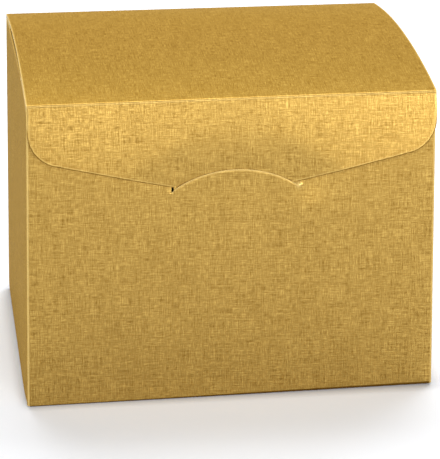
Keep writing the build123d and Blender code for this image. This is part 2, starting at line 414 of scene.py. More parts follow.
def boardPiece(name, rows, keep=None, finishes=boardFinishes):
    cells = bmesh.new()
    flatLayer = cells.loops.layers.uv.new("flat")
    wearAndLightLayer = cells.verts.layers.float.new("wear")
    grid = []
    for row in rows:
        line = []
        for point, flat, wear in row:
            corner = cells.verts.new(point)
            corner[wearAndLightLayer] = wear
            line.append((corner, flat))
        grid.append(line)
    for j in range(len(grid) - 1):
        for i in range(len(grid[j]) - 1):
            if keep and not keep(j, i):
                continue
            corners = (grid[j][i], grid[j][i + 1], grid[j + 1][i + 1], grid[j + 1][i])
            face = cells.faces.new([corner for corner, _ in corners])
            for loop, (_, flat) in zip(face.loops, corners):
                loop[flatLayer].uv = flat
    loose = [corner for corner in cells.verts if not corner.link_faces]
    bmesh.ops.delete(cells, geom=loose, context="VERTS")
    bmesh.ops.remove_doubles(cells, verts=cells.verts, dist=sheet["mergeDistance"])
    mesh = bpy.data.meshes.new(name)
    cells.to_mesh(mesh)
    cells.free()
    for finish in finishes:
        mesh.materials.append(finish)
    piece = bpy.data.objects.new(name, mesh)
    bpy.context.collection.objects.link(piece)
    wall = piece.modifiers.new("board", "SOLIDIFY")
    wall.thickness = board
    wall.offset = -1.0
    wall.use_even_offset = True
    wall.use_quality_normals = True
    wall.material_offset = 1
    wall.material_offset_rim = 2
    return finishMesh(piece)


def fixed(piece, *nodes):
    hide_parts(*nodes)
    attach(piece, "box")


def hinged(piece, bodies, start, end, *nodes):
    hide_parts(*nodes)
    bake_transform(piece)


def walked(points, start):
    # distance along a line of points, from a start value
    places = [start]
    for before, after in zip(points, points[1:]):
        places.append(places[-1] + math.dist(before, after))
    return places


def roundFold(middleX, middleY, fromAngle, toAngle):
    # points round an upright fold, with their wear and painted highlight; angles in degrees from +X
    found = []
    for share in spread(0.0, 1.0, sheet["foldSteps"]):
        angle = math.radians(fromAngle + (toAngle - fromAngle) * share)
        point = (middleX + foldRadius * math.cos(angle), middleY + foldRadius * math.sin(angle))
        found.append((point, foldWearAndHighlight(share)))
    return found


# the closure: an arched slit in the front panel, and the flap whose tongue goes through it
closure = {
    "slitSpan": 37 * mm,
    "slitDrop": 27.4 * mm,        # lid crease to the slit's ends
    "slitRise": 5.8 * mm,
    "sideDepth": 16.6 * mm,       # lid crease to the corner of the flap, before rounding
    "edgeAbove": 1.1 * mm,        # the flap's slanting edge passes this far above the slit's ends
    "cornerRadius": 10.3 * mm,
    "tipRadius": 25 * mm,
    "slitShift": 0.5 * mm,        # to the right of the middle
    "slitLean": 0.25 * mm,        # its right end is this much higher, its left end lower
    "bow": 0.45 * mm,             # panel and flap swell between the folds, most just below the slit
    "bowRise": 1.6,
    "pinch": 0.35 * mm,           # flap and panel are drawn in above the slit's ends
    "pinchSize": (3.2 * mm, 6 * mm),
    "pinchAt": (-1 * mm, 4 * mm),        # from a slit's end
    "pinchFade": 2 * mm,          # either side of it
}
slitHalf = closure["slitSpan"] / 2
slitEndZ = creaseTop - closure["slitDrop"]
archRadius = (slitHalf ** 2 + closure["slitRise"] ** 2) / (2 * closure["slitRise"])
archMiddleZ = slitEndZ + closure["slitRise"] - archRadius


def acrossSlit(x):
    return x - closure["slitShift"]


def slitLift(x):
    return closure["slitLean"] * max(-1.0, min(1.0, acrossSlit(x) / slitHalf))


def pastArch(x, z):
    return math.hypot(acrossSlit(x), z - slitLift(x) - archMiddleZ) - archRadius


def bowed(x, z):
    across = max(0.0, 1 - (x / foldLine) ** 4)
    return closure["bow"] * across * math.sin(math.pi * min(1.0, z / wallTop) ** closure["bowRise"])


def pinched(x, z):
    wide, tall = closure["pinchSize"]
    inward, above = closure["pinchAt"]
    beyond = abs(acrossSlit(x)) - slitHalf
    dx = (beyond - inward) / wide
    dz = (z - slitEndZ - above) / tall
    within = smooth(-closure["pinchFade"], closure["pinchFade"], -beyond)
    return closure["pinch"] * math.exp(-dx * dx - dz * dz) * within


frontPanel = {
    "leftOverrun": 0.0,            # of the slit, past its span
    "rightOverrun": 0.3 * mm,
    "nickWidth": 0.7 * mm,         # upright nick in which the slit ends on the left, a small dark hole
    "nickHeight": 1.6 * mm,
    "nickDrop": 0.35 * mm,         # of its foot, below the slit
    "nickWall": 0.08 * mm,         # columns this close make its sides upright
    "burr": 0.2 * mm,              # raised beside the foot of the nick
    "burrSize": 0.45 * mm,
    "burrAt": (-0.3 * mm, -0.6 * mm),    # from the slit's left end
    "slitGap": 0.1 * mm,
    "leastGap": 0.02 * mm,         # at the slit's ends
    "gapReach": 4 * mm,            # from an end to where the slit is fully open
    "lipForward": 0.3 * mm,        # the tab below the arch is held out by the tongue
    "lipReach": 9 * mm,
    "lipRound": 0.14 * mm,         # the lip's rubbed edge turns in this far
    "lipTurn": 0.5 * mm,
    # the lip's round is lighter: rubbed edge with painted highlight
    "lipWearAndHighlight": 0.75,
    "recess": 0.9 * mm,            # the edge above the arch is pressed in by the flap
    "recessReach": 7 * mm,
    "pinchFrom": 2 * mm,           # above the slit, where the pinch is full
    "knuckle": 0.55 * mm,          # small rubbed bump at the right end of the slit
    "knuckleSize": 0.7 * mm,
    # the knuckle is lighter: rubbed, with painted highlight
    "knuckleWearAndHighlight": 0.8,
    "knuckleOut": 0.1 * mm,        # past the end
    "swell": 0.45 * mm,            # low swelling below and beside it
    "swellSize": 6 * mm,
    "swellAt": (4 * mm, -8 * mm),  # from the knuckle
    "columnStep": 2 * mm,
    "slitColumnStep": 0.5 * mm,
    "slitColumnReach": 4 * mm,     # fine columns go on this far past the slit
    "rowsBelow": [8, 6, 4.5, 3.2, 2.2, 1.4, 0.8, 0.4, 0.2, 0.08, 0],      # mm from the slit
    "rowsAbove": [0, 0.2, 0.5, 1, 1.8, 3, 4.5, 6.5, 9],
    "footRows": 30,
    "topRows": 8,
}


def slitLip(x):
    # height of the lip at x, and whether the slit is open there
    across = acrossSlit(x)
    end = slitHalf + (frontPanel["leftOverrun"] if across < 0 else frontPanel["rightOverrun"])
    reach = min(abs(across), end)
    lip = archMiddleZ + slitLift(x) + math.sqrt(archRadius ** 2 - reach ** 2)
    inNick = -end + tiny < across < frontPanel["nickWidth"] - end - tiny
    return lip - (frontPanel["nickDrop"] if inNick else 0.0), abs(across) < end - tiny


def makeFrontPanel(values):
    slitLeft = closure["slitShift"] - slitHalf - values["leftOverrun"]
    slitRight = closure["slitShift"] + slitHalf + values["rightOverrun"]
    nickRight = slitLeft + values["nickWidth"]
    fineReach = values["slitColumnReach"]
    fineLeft = slitLeft - fineReach
    fineRight = slitRight + fineReach
    fineCount = round((slitRight - slitLeft) / values["slitColumnStep"])
    sideCount = round((foldLine - slitRight - fineReach) / values["columnStep"])
    nearCount = round(fineReach / values["slitColumnStep"])
    xs = spread(-foldLine, fineLeft, sideCount)[:-1]
    xs += spread(fineLeft, slitLeft, nearCount)[:-1]
    xs += [slitLeft, slitLeft + values["nickWall"], nickRight - values["nickWall"]]
    xs += spread(nickRight, slitRight, fineCount)[:-1]
    xs += spread(slitRight, fineRight, nearCount)[:-1]
    xs += spread(fineRight, foldLine, sideCount)
    foldY = frontFace + foldRadius
    path = [((-sideFace, foldY + seam), 0.0)]
    path += roundFold(-foldLine, foldY, 180, 270)[:-1]
    path += [((x, frontFace), 0.0) for x in xs]
    path += roundFold(foldLine, foldY, 270, 360)[1:]
    path += [((sideFace, foldY + seam), 0.0)]
    places = walked([point for point, _ in path], 0.0)
    middle = places[-1] / 2
    below = [drop * mm for drop in values["rowsBelow"]]
    above = [lift * mm for lift in values["rowsAbove"]]
    footShares = spread(0.0, 1.0, values["footRows"])[:-1]
    topShares = spread(0.0, 1.0, values["topRows"])[1:]
    slitRow = len(footShares) + len(below) - 1

    def heightsBelow(lip, foot):
        start = lip - below[0]
        return [foot + share * (start - foot) for share in footShares] + [lip - drop for drop in below]

    def heightsAbove(x, lip, inSlit):
        gap = 0.0
        if inSlit:
            fromEnd = min(x - slitLeft, slitRight - x)
            gap = values["slitGap"] * smooth(0.0, values["gapReach"], fromEnd) + values["leastGap"]
            if slitLeft < x < nickRight - tiny:
                gap = values["nickHeight"]
        heights = [lip + gap + lift for lift in above]
        start = heights[-1]
        return heights + [start + share * (wallTop - start) for share in topShares]

    def shapeBelow(x, lip, inSlit, z):
        away = lip - z
        held = max(0.0, 1 - (acrossSlit(x) / slitHalf) ** 2)
        y = -values["lipForward"] * held * max(0.0, 1 - away / values["lipReach"]) ** 2
        turn = max(0.0, 1 - away / values["lipTurn"]) if inSlit else 0.0
        return z, y + values["lipRound"] * turn ** 2, turn * values["lipWearAndHighlight"]

    def shapeAbove(x, lip, z):
        away = z - lip
        pressed = max(0.0, 1 - (acrossSlit(x) / slitHalf) ** 4)
        y = values["recess"] * pressed * max(0.0, 1 - away / values["recessReach"]) ** 1.5
        y += pinched(x, z) * smooth(0.0, values["pinchFrom"], away)
        return z, y, edgeWear(wallTop - z)

    def bumps(x, z):
        dx = x - slitRight - values["knuckleOut"]
        dz = z - slitEndZ - slitLift(x)
        knuckle = math.exp(-(math.hypot(dx, dz) / values["knuckleSize"]) ** 2)
        swellX, swellZ = values["swellAt"]
        swell = math.hypot(dx - swellX, dz - swellZ) / values["swellSize"]
        burrX, burrZ = values["burrAt"]
        burr = math.hypot(x - slitLeft - burrX, dz - burrZ) / values["burrSize"]
        raised = values["knuckle"] * knuckle + values["swell"] * math.exp(-swell ** 2)
        return raised + values["burr"] * math.exp(-burr ** 2), values["knuckleWearAndHighlight"] * knuckle

    columns = []
    for ((x, y), rubAndHighlight), place in zip(path, places):
        onFace = abs(x) < foldLine
        flatX = max(-foldLine, min(foldLine, x))
        lip, inSlit = slitLip(flatX)
        foot = wallFoot if onFace else board        # the upright folds run on down between the base folds
        shaped = [shapeBelow(flatX, lip, inSlit, z) for z in heightsBelow(lip, foot)]
        shaped += [shapeAbove(flatX, lip, z) for z in heightsAbove(flatX, lip, inSlit)]
        column = []
        for z, dy, wear in shaped:
            if onFace:
                raised, rubbedAndHighlit = bumps(x, z)
                dy -= raised + bowed(x, z)
                wear = max(wear, rubbedAndHighlit)
            column.append((splayed((x, y + dy, z)), (place - middle, z), max(rubAndHighlight, wear)))
        columns.append(column)
    return boardPiece("frontPanel", list(zip(*columns)), lambda j, i: j != slitRow)


fixed(makeFrontPanel(frontPanel), "front_panel", "front_left_fold", "front_right_fold")
print("front panel made")


sidePanel = {
    "lidGap": 0.3 * mm,
    "crownRamp": 1.0,              # the top rises from the upright folds at this slope, up to the lid
    "hingeStep": 0.02 * mm,        # columns this close make the steps beside the dust flap upright
    "columnStep": 2 * mm,
    "rowCount": 44,
}
dustLow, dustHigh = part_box("left_dust_crease")
dustHalf = (dustHigh.y - dustLow.y) / 2
dustHingeZ = (dustLow.z + dustHigh.z) / 2
dustHingeX = sideFace - beadRadius
sideFoot = lowOf("left_side_panel", "z") + seam


def sideTop(y, frontEnd, backEnd, values):
    if abs(y) < dustHalf:
        return dustHingeZ - seam
    crown = lidMiddleZ + math.sqrt((lidRadius - board - values["lidGap"]) ** 2 - (y - lidMiddleY) ** 2)
    return min(crown, wallTop + values["crownRamp"] * min(y - frontEnd, backEnd - y))


def makeSidePanel(name, side, backEnd, values):
    # side is -1 for the left panel and 1 for the right one
    frontEnd = frontFace + foldRadius + seam
    ends = (frontEnd, -dustHalf, dustHalf, backEnd)
    ys = []
    step = values["hingeStep"]
    for low, high in zip(ends, ends[1:]):
        ys += spread(low + step, high - step, round((high - low) / values["columnStep"]))
    ys[0], ys[-1] = frontEnd, backEnd
    if side < 0:
        ys.reverse()
    flatStart = sideFace - frontFace
    rows = []
    for share in spread(0.0, 1.0, values["rowCount"]):
        row = []
        for y in ys:
            top = sideTop(y, frontEnd, backEnd, values)
            z = sideFoot + share * (top - sideFoot)
            wear = edgeWear(top - z) if abs(y) > dustHalf else 0.0
            row.append((splayed((side * sideFace, y, z)), (side * (flatStart + y), z), wear))
        rows.append(row)
    return boardPiece(name, rows, finishes=sideFinishes)


tabFoldY = tabFace - foldRadius
backFoldY = backFace - foldRadius
fixed(makeSidePanel("leftSidePanel", -1, tabFoldY - seam, sidePanel), "left_side_panel")
fixed(makeSidePanel("rightSidePanel", 1, backFoldY - seam, sidePanel), "right_side_panel")
print("side panels made")


backPanel = {"columnStep": 2 * mm, "rowCount": 44}


def makeBackPanel(values):
    xs = spread(foldLine, -sideFace + sheet["wearWidth"], round((foldLine + sideFace) / values["columnStep"]))
    path = [((sideFace, backFoldY - seam), 0.0)]
    path += roundFold(foldLine, backFoldY, 0, 90)[:-1]
    path += [((x, backFace), 0.0) for x in xs] + [((-sideFace, backFace), 1.0)]
    places = walked([point for point, _ in path], sideFace - frontFace + backFoldY - seam)
    foot = lowOf("back_panel", "z") + seam
    rows = []
    for share in spread(0.0, 1.0, values["rowCount"]):
        row = []
        for ((x, y), wear), place in zip(path, places):
            top = hingeZ - seam if y == backFace else wallTop
            z = foot + share * (top - foot)
            row.append((splayed((x, y, z)), (place, z), wear))
        rows.append(row)
    return boardPiece("backPanel", rows)


fixed(makeBackPanel(backPanel), "back_panel", "back_right_fold")

glueTab = {"taper": 5 * mm, "columnCount": 10, "rowCount": 40}


def makeGlueTab(values):
    freeX = highOf("glue_tab", "x")
    low = lowOf("glue_tab", "z")
    high = highOf("glue_tab", "z")
    path = [((x, tabFace), 0.0) for x in spread(freeX, -foldLine, values["columnCount"])[:-1]]
    path += roundFold(-foldLine, tabFoldY, 90, 180) + [((-sideFace, tabFoldY - seam), 0.0)]
    places = walked([point for point, _ in path], -sideFace - tabFace - freeX)
    rows = []
    for share in spread(0.0, 1.0, values["rowCount"]):
        row = []
        for k, (((x, y), wear), place) in enumerate(zip(path, places)):
            narrow = values["taper"] * max(0.0, (x + foldLine) / (freeX + foldLine))
            foot, top = (low + narrow, high - narrow) if k < values["columnCount"] else (sideFoot, wallTop)
            z = foot + share * (top - foot)
            row.append((splayed((x, y, z)), (place, z), wear))
        rows.append(row)
    return boardPiece("glueTab", rows)


fixed(makeGlueTab(glueTab), "glue_tab", "back_left_fold")
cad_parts["seam_glue"].data.materials.clear()
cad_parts["seam_glue"].data.materials.append(driedGlue)
print("back panel and glued seam made")


# flaps that fold off a wall: distance 0 is where the fold begins, and the wall is at smaller distances

def foldedPoint(corner, wallNormal, flapNormal, radius, distance):
    arc = radius * math.pi / 2
    if distance < 0:
        return corner + wallNormal * radius + flapNormal * distance
    if distance < arc:
        angle = distance / radius
        return corner + (wallNormal * math.cos(angle) + flapNormal * math.sin(angle)) * radius
    return corner + flapNormal * radius - wallNormal * (distance - arc)


def foldDistances(radius, start, reach, count):
    arc = radius * math.pi / 2
    steps = [start] + spread(0.0, arc, sheet["foldSteps"])
    return steps + spread(arc, arc + reach, count)[1:]


def flapRow(fold, distance, places, end, lift=0.0, worn=True):
    # one row across a flap, whose free edge is at end; rubAndHighlight scales its fold's wear and painted
    # highlight
    corner, wallNormal, flapNormal, along, radius, flatSign, rubAndHighlight = fold
    arc = radius * math.pi / 2
    point = foldedPoint(corner, wallNormal, flapNormal, radius, distance) - flapNormal * lift
    row = []
    for place in places:
        wear = rubAndHighlight * foldWearAndHighlight(distance / arc) if 0 < distance < arc else 0.0
        if worn and distance > arc:
            wear = max(edgeWear(places[-1] - place), edgeWear(place - places[0]), edgeWear(end - distance))
        row.append((point + along * place, (place, flatSign * distance), wear))
    return row


def acrossFlap(half, count):
    wear = sheet["wearWidth"]
    return [-half] + spread(wear - half, half - wear, count) + [half]


def settleRows(rows):
    return [[(splayed(point), flat, wear) for point, flat, wear in row] for row in rows]


baseFlap = {
    "corner": 12 * mm,            # cut off the free corners
    "lockEdge": 62 * mm,          # front panel to the edge where the tongue starts
    "tongueWidth": 44 * mm,
    "tongueTaper": 4 * mm,
    "tongueRadius": 3 * mm,
    "notchClearance": 0.4 * mm,
    "sideTaper": 9 * mm,
    "foldRubAndHighlight": 0.1,
    "paintedShadeFrom": (0.2, -0.3),    # painted shade starts this far down the round of the front fold, at its left and right ends
    "paintedShadeFade": 0.18,
    "blockColumns": 14,
    "besideTongue": 10 * mm,      # width of the columns that are left out beside the tongue
    "footRows": 6,
    "lockRows": 24,
    "mainRows": 20,
    "notchRows": 4,
    "cornerRows": 10,
    "stepRows": 6,
    "tongueRows": 16,
    "sideRows": 18,
    "sideColumns": 40,
}
baseHalf = highOf("base_lock_flap", "x")
lockEdge = frontFace + baseFlap["lockEdge"]
tongueLevel = highOf("base_lock_flap", "z") - board
mainLevel = lowOf("base_main_flap", "z")
sideLevel = lowOf("base_left_flap", "z")
up = Vector((0, 0, 1))
right = Vector((1, 0, 0))
back = Vector((0, 1, 0))


def blockPlaces(innerHalf, outerHalf, count):
    # outer, middle and outer block of columns, so that a tongue or notch can end at the block lines
    rightBlock = spread(innerHalf, outerHalf - sheet["wearWidth"], count) + [outerHalf]
    return [-x for x in reversed(rightBlock)] + spread(-innerHalf, innerHalf, count)[1:-1] + rightBlock


def middleBlock(count):
    return range(count + 1, 2 * count + 1)


def cutCorner(y, edgeY, rootHalf, values):
    return rootHalf - max(0.0, values["corner"] - abs(edgeY - y))


def foldWithPaintedShade(row, share, values):
    # the round of the front fold, with painted shade on its underside from where that starts
    leftFrom, rightFrom = values["paintedShadeFrom"]
    made = []
    for point, flat, wear in row:
        start = leftFrom + (rightFrom - leftFrom) * smooth(-sideFace, sideFace, point.x)
        paintedShade = smooth(start, start + values["paintedShadeFade"], share)
        made.append((point, flat, wear - (1 + wear) * paintedShade))
    return made


def makeBaseLockFlap(values):
    corner = Vector((0, frontFace + foldRadius, foldRadius))
    fold = (corner, -back, -up, right, foldRadius, -1, values["foldRubAndHighlight"])
    arc = foldRadius * math.pi / 2
    flapReach = lockEdge - frontFace - foldRadius
    straightReach = flapReach - values["corner"]
    tongueEnd = highOf("base_lock_flap", "y") - frontFace - foldRadius
    tongueReach = tongueEnd - flapReach
    tongueHalf = values["tongueWidth"] / 2
    tongueRadius = values["tongueRadius"]
    count = values["blockColumns"]
    rows = []
    distances = foldDistances(foldRadius, foldRadius - wallFoot, straightReach, values["lockRows"])
    distances[:2] = spread(distances[0], distances[1], values["footRows"])
    for distance in distances:
        half = foldLine if distance < arc else baseHalf
        row = flapRow(fold, distance, blockPlaces(tongueHalf, half, count), tongueEnd + arc)
        # the front fold's round gets painted shade on its underside
        rows.append(foldWithPaintedShade(row, distance / arc, values) if distance <= arc else row)
    for distance in spread(straightReach, flapReach, values["cornerRows"])[1:]:
        half = baseHalf - (distance - flapReach + values["corner"])
        rows.append(flapRow(fold, distance + arc, blockPlaces(tongueHalf, half, count), flapReach + arc))
    flapRows = len(rows)
    steps = spread(0.0, tongueLevel, values["stepRows"])[1:]
    steps += spread(tongueLevel, tongueReach, values["tongueRows"])[1:]
    for step in steps:
        half = tongueHalf - values["tongueTaper"] * step / tongueReach
        inset = max(0.0, tongueRadius - (tongueReach - step))
        half -= tongueRadius - math.sqrt(tongueRadius ** 2 - inset ** 2)
        places = blockPlaces(half, half + values["besideTongue"], count)
        lift = tongueLevel * smooth(0.0, tongueLevel, step)
        rows.append(flapRow(fold, flapReach + arc + step, places, tongueEnd + arc, lift, worn=False))
    rows.reverse()
    firstFlapRow = len(rows) - flapRows
    middle = middleBlock(count)
    return boardPiece("baseLockFlap", settleRows(rows), lambda j, i: j >= firstFlapRow or i in middle)


def makeBaseMainFlap(values):
    corner = Vector((0, backFoldY, mainLevel + foldRadius))
    fold = (corner, back, -up, -right, foldRadius, -1, values["foldRubAndHighlight"])
    arc = foldRadius * math.pi / 2
    edgeY = lowOf("base_main_flap", "y")
    reach = backFoldY - edgeY
    straightReach = reach - values["corner"]
    notchHalf = values["tongueWidth"] / 2 + values["notchClearance"]
    notchBack = lockEdge + mainLevel + board + values["notchClearance"]
    notchReach = backFoldY - notchBack
    count = values["blockColumns"]
    distances = foldDistances(foldRadius, -seam, notchReach, values["mainRows"])
    solidRows = len(distances)
    distances += [arc + d for d in spread(notchReach, straightReach, values["notchRows"])[1:]]
    distances += [arc + d for d in spread(straightReach, reach, values["cornerRows"])[1:]]
    rows = []
    for distance in distances:
        half = foldLine if distance < arc else cutCorner(backFoldY - distance + arc, edgeY, baseHalf, values)
        rows.append(flapRow(fold, distance, blockPlaces(notchHalf, half, count), reach + arc))
    rows.reverse()
    firstSolidRow = len(rows) - solidRows
    middle = middleBlock(count)
    return boardPiece("baseMainFlap", settleRows(rows), lambda j, i: j >= firstSolidRow or i not in middle)


def makeBaseSideFlap(name, side, node, backEnd, values):
    frontEnd = frontFace + foldRadius + seam
    middleY = (frontEnd + backEnd) / 2
    half = (backEnd - frontEnd) / 2
    along = back if side > 0 else -back
    corner = Vector((side * foldLine, middleY, sideLevel + foldRadius))
    fold = (corner, right * side, -up, along, foldRadius, -1, values["foldRubAndHighlight"])
    arc = foldRadius * math.pi / 2
    reach = highOf(node, "x") - lowOf(node, "x")
    rootHalf = (highOf(node, "y") - lowOf(node, "y")) / 2
    rows = []
    for distance in foldDistances(foldRadius, -seam, reach, values["sideRows"]):
        narrow = values["sideTaper"] * max(0.0, distance - arc) / reach
        places = acrossFlap(half if distance < arc else rootHalf - narrow, values["sideColumns"])
        rows.append(flapRow(fold, distance, places, reach + arc))
    rows.reverse()
    return boardPiece(name, settleRows(rows))


fixed(makeBaseLockFlap(baseFlap), "base_lock_flap", "base_front_fold")
fixed(makeBaseMainFlap(baseFlap), "base_main_flap", "base_back_fold")
fixed(makeBaseSideFlap("baseLeftFlap", -1, "base_left_flap", tabFoldY - seam, baseFlap),
      "base_left_flap", "base_left_fold")
fixed(makeBaseSideFlap("baseRightFlap", 1, "base_right_flap", backFoldY - seam, baseFlap),
      "base_right_flap", "base_right_fold")
print("base made")


dustFlap = {
    "freeEdge": 26 * mm,
    "cornerRadius": 6 * mm,
    "foldRubAndHighlight": 1.0,
    "columns": 36,
    "rows": 24,
    "cornerRows": 10,
}


def makeDustFlap(name, side, values):
    width = dustHingeX - lowOf("right_dust_flap", "x")
    rootHalf = dustHalf
    freeHalf = values["freeEdge"] / 2
    radius = values["cornerRadius"]
    length = math.hypot(width, rootHalf - freeHalf)
    leanX = (rootHalf - freeHalf) / length      # outward normal of the slanted end
    leanY = width / length
    middleX = width - radius
    middleY = (leanY * rootHalf - radius - leanX * middleX) / leanY
    tangentX = middleX + radius * leanX

    def halfAt(reach):
        if reach < tangentX:
            return rootHalf - (rootHalf - freeHalf) * max(0.0, reach) / width
        return middleY + math.sqrt(max(0.0, radius ** 2 - (reach - middleX) ** 2))

    corner = Vector((side * dustHingeX, 0, dustHingeZ))
    along = back if side > 0 else -back
    fold = (corner, right * side, up, along, beadRadius, 1, values["foldRubAndHighlight"])
    arc = beadRadius * math.pi / 2
    angles = spread(math.asin(leanX), math.pi / 2, values["cornerRows"])
    reaches = spread(0.0, tangentX, values["rows"])
    reaches += [middleX + radius * math.sin(angle) for angle in angles[1:]]
    distances = [-seam] + spread(0.0, arc, sheet["foldSteps"])[:-1] + [arc + reach for reach in reaches]
    rows = []
    for distance in distances:
        places = acrossFlap(halfAt(distance - arc), values["columns"])
        rows.append(flapRow(fold, distance, places, arc + width))
    return boardPiece(name, rows)


for name, side in (("leftDustFlap", -1), ("rightDustFlap", 1)):
    node = "left_dust_flap" if side < 0 else "right_dust_flap"
    wallEnd = (side * sideFace, 0, dustHingeZ)
    flapEnd = (side * dustHingeX, 0, dustHingeZ + beadRadius)
    piece = makeDustFlap(name, side, dustFlap)
    hinged(piece, ("box", node), wallEnd, flapEnd, node, node.replace("flap", "crease"))
print("dust flaps made")


# the lid follows a rule, an arc and then the round of its back crease, so a node tree makes it
lidPanel = {
    "Width": 2 * sideFace,
    "Radius": lidRadius,
    "Tilt": lidTilt,
    "Middle Y": lidMiddleY,
    "Middle Z": lidMiddleZ,
    "Crease Radius": beadRadius,
    "Seam": seam,
    "Board": board,
    "Flat Across": backFlat,
    "Flat Up": lidFlat,
    "Ripple": 0.12 * mm,          # slow waves in the board
    "Ripple Size": 40 * mm,
    "Corner Skew": sheet["topSkew"],
    "Corner Lift": sheet["topLift"],
    "Wear Width": 0.5 * mm,
    "Fold Wear And Highlight": sheet["foldWearAndHighlight"],
}
lidGrid = {"columns": 240, "arcRows": 80, "creaseRows": 8}


def makeLidTree(inputs, grid):
    tree = bpy.data.node_groups.new("domedLid", "GeometryNodeTree")
    for name in inputs:
        tree.interface.new_socket(name, in_out="INPUT", socket_type="NodeSocketFloat")
    tree.interface.new_socket("Geometry", in_out="OUTPUT", socket_type="NodeSocketGeometry")
    given = tree.nodes.new("NodeGroupInput").outputs

    def do(operation, first, second=0.0):
        return calc(tree, operation, first, second)

    rowCount = grid["arcRows"] + grid["creaseRows"] + 1
    sockets = {"Size X": given["Width"], "Size Y": 1.0,
               "Vertices X": grid["columns"] + 1, "Vertices Y": rowCount + 1}
    flatGrid = addNode(tree, "GeometryNodeMeshGrid", sockets).outputs["Mesh"]
    place = addNode(tree, "GeometryNodeInputPosition").outputs[0]
    x, share, _ = addNode(tree, "ShaderNodeSeparateXYZ", {0: place}).outputs
    row = do("MULTIPLY", do("ADD", share, 0.5), float(rowCount))
    arcLength = do("MULTIPLY", do("MULTIPLY", given["Radius"], given["Tilt"]), 2.0)
    creaseTurn = do("SUBTRACT", math.pi / 2, given["Tilt"])
    arcEnd = float(grid["arcRows"])
    creaseEnd = arcEnd + grid["creaseRows"]
    onArc = remap(tree, row, 0.0, arcEnd, given["Seam"], arcLength)
    turned = remap(tree, row, arcEnd, creaseEnd, 0.0, creaseTurn)
    onWall = remap(tree, row, creaseEnd, creaseEnd + 1, 0.0, given["Seam"])
    lean = do("SUBTRACT", do("DIVIDE", onArc, given["Radius"]), given["Tilt"])
    bend = do("ADD", given["Tilt"], turned)
    offsets = []
    for trig in ("SINE", "COSINE"):
        arcPart = do("MULTIPLY", given["Radius"], do(trig, lean))
        gained = do("SUBTRACT", do(trig, bend), do(trig, given["Tilt"]))
        offsets.append(do("ADD", arcPart, do("MULTIPLY", given["Crease Radius"], gained)))
    y = do("ADD", given["Middle Y"], offsets[0])
    z = do("SUBTRACT", do("ADD", given["Middle Z"], offsets[1]), onWall)
    toBack = remap(tree, row, 0.0, arcEnd, 0.0, 1.0)
    calm = do("SINE", do("MULTIPLY", toBack, math.pi))      # no waves at the creases
    waveScale = do("DIVIDE", 1.0, given["Ripple Size"])
    waves = {"Vector": vectorOf(tree, x, onArc), "Scale": waveScale, "Detail": 0.0}
    wave = do("SUBTRACT", addNode(tree, "ShaderNodeTexNoise", waves, noise_dimensions="2D").outputs[0], 0.5)
    z = do("ADD", z, do("MULTIPLY", do("MULTIPLY", wave, calm), do("MULTIPLY", given["Ripple"], 2.0)))
    toLeft = do("SUBTRACT", 0.5, do("DIVIDE", x, given["Width"]))
    toCorner = do("MULTIPLY", toLeft, toBack)
    placedX = do("ADD", x, do("MULTIPLY", toCorner, given["Corner Skew"]))
    z = do("ADD", z, do("MULTIPLY", toCorner, given["Corner Lift"]))
    point = addNode(tree, "ShaderNodeCombineXYZ", {0: placedX, 1: y, 2: z}).outputs[0]
    creaseLength = do("MULTIPLY", given["Crease Radius"], creaseTurn)
    gone = do("ADD", onArc, do("ADD", do("MULTIPLY", given["Crease Radius"], turned), onWall))
    flatUp = do("ADD", given["Flat Up"], do("SUBTRACT", do("ADD", arcLength, creaseLength), gone))
    flat = vectorOf(tree, do("SUBTRACT", given["Flat Across"], x), flatUp)
    half = do("MULTIPLY", given["Width"], 0.5)
    edge = remap(tree, do("ABSOLUTE", x), do("SUBTRACT", half, given["Wear Width"]), half, 0.0, 1.0)
    # the crease's round is lighter: worn foil with painted highlight
    creaseShare = do("DIVIDE", turned, creaseTurn)
    crease = do("MULTIPLY", do("SINE", do("MULTIPLY", creaseShare, math.pi)), given["Fold Wear And Highlight"])
    wear = do("MAXIMUM", edge, crease)

    def store(geometry, name, value, kind, domain):
        sockets = {"Geometry": geometry, "Name": name, "Value": value}
        kept = addNode(tree, "GeometryNodeStoreNamedAttribute", sockets, data_type=kind, domain=domain)
        return kept.outputs[0]

    stored = store(flatGrid, "wear", wear, "FLOAT", "POINT")
    stored = store(stored, "flat", flat, "FLOAT2", "CORNER")
    domed = addNode(tree, "GeometryNodeSetPosition", {"Geometry": stored, "Position": point}).outputs[0]
    inward = do("MULTIPLY", given["Board"], -1.0)
    sockets = {"Mesh": domed, "Offset Scale": inward, "Individual": False}
    inner = addNode(tree, "GeometryNodeExtrudeMesh", sockets)
    turnedOver = addNode(tree, "GeometryNodeFlipFaces", {0: inner.outputs["Mesh"]}).outputs[0]
    joined = addNode(tree, "GeometryNodeJoinGeometry")
    tree.links.new(domed, joined.inputs[0])
    tree.links.new(turnedOver, joined.inputs[0])
    sockets = {"Geometry": joined.outputs[0], "Distance": sheet["mergeDistance"]}
    whole = addNode(tree, "GeometryNodeMergeByDistance", sockets).outputs[0]
    whole = addNode(tree, "GeometryNodeRealizeInstances", {0: whole}).outputs[0]
    painted = ((None, goldFace), (inner.outputs["Top"], paperInside), (inner.outputs["Side"], cutEdge))
    for selection, finish in painted:
        sockets = {"Geometry": whole, "Material": finish}
        if selection:
            sockets["Selection"] = selection
        whole = addNode(tree, "GeometryNodeSetMaterial", sockets).outputs[0]
    addNode(tree, "NodeGroupOutput", {0: whole})
    return tree


def makeLidPanel(inputs, grid):
    piece = bpy.data.objects.new("lidPanel", bpy.data.meshes.new("lidPanel"))
    bpy.context.collection.objects.link(piece)
    maker = piece.modifiers.new("domedLid", "NODES")
    maker.node_group = makeLidTree(inputs, grid)
    for item in maker.node_group.interface.items_tree:
        if item.in_out == "INPUT":
            maker[item.identifier] = inputs[item.name]
    return finishMesh(piece)


